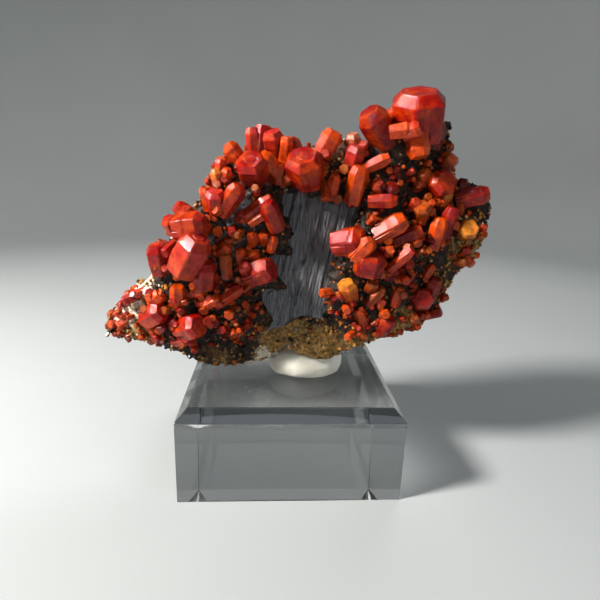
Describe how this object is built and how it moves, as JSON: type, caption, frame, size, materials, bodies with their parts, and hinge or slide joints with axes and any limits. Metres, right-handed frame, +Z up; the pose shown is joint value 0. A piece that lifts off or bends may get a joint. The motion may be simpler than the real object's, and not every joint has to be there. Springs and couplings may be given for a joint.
{
  "type": "mineral specimen on stand",
  "caption": "Red-orange hexagonal crystals on dark rock with a grey grooved blade, set in white putty on a clear square block.",
  "frame": {"origin": "middle of the block's underside", "axes": "+Z up, +X along the specimen's long side, -Y towards the show side with the large crystals"},
  "size_m": [0.074, 0.04, 0.0721],
  "materials": {
    "clear_acrylic": "polished, clear",
    "white_putty": "matt, soft white",
    "dark_matrix": "rough, black-brown with tan druse",
    "grey_blade": "finely grooved, metallic grey",
    "red_vanadinite": "glossy, translucent",
    "orange_vanadinite": "glossy, translucent",
    "amber_vanadinite": "glossy, translucent",
    "dark_vanadinite": "glossy, translucent"
  },
  "bodies": {
    "root": {"acrylic_block": "clear_acrylic", "mounting_putty": "white_putty", "matrix": "dark_matrix", "striated_blade": "grey_blade", "crown_crystals": "red_vanadinite", "shoulder_crystal": "amber_vanadinite", "round_hexagon_crystals": "red_vanadinite", "nose_crystals": "dark_vanadinite", "rough_yellow_crystal": "amber_vanadinite", "tall_pair_crystals": "red_vanadinite", "ribbed_crystal": "amber_vanadinite", "dark_pair_crystals": "dark_vanadinite", "hidden_crystal": "dark_vanadinite", "pointed_crystals": "red_vanadinite", "slim_crystal": "red_vanadinite", "right_barrel_crystals": "red_vanadinite", "purple_bar_crystal": "dark_vanadinite", "yellow_barrel_crystal": "amber_vanadinite", "amber_crystals": "amber_vanadinite", "amber_prism": "amber_vanadinite", "edge_crystals": "red_vanadinite", "slanting_crystal": "orange_vanadinite", "lower_dark_crystal": "dark_vanadinite", "peak_crystals": "red_vanadinite", "red_hexagon_crystal": "red_vanadinite", "orange_slab_crystal": "orange_vanadinite", "small_prism_crystal": "red_vanadinite", "upright_crystals": "orange_vanadinite", "upper_left_crystals": "red_vanadinite", "rim_prism_crystals": "orange_vanadinite", "flash_prism_crystals": "orange_vanadinite", "long_bar_crystals": "red_vanadinite", "orange_crumb_crystals": "orange_vanadinite", "pink_crystals": "red_vanadinite", "left_edge_crystal": "red_vanadinite", "brown_crystals": "amber_vanadinite", "red_cluster_crystals": "red_vanadinite", "lower_bar_crystals": "red_vanadinite", "lower_hexagon_crystal": "orange_vanadinite", "white_flash_crystals": "red_vanadinite", "lower_red_crystals": "red_vanadinite", "back_left_crystals": "red_vanadinite", "back_top_crystal": "orange_vanadinite", "back_right_crystals": "red_vanadinite", "back_low_crystal": "amber_vanadinite"}
  },
  "joints": []
}
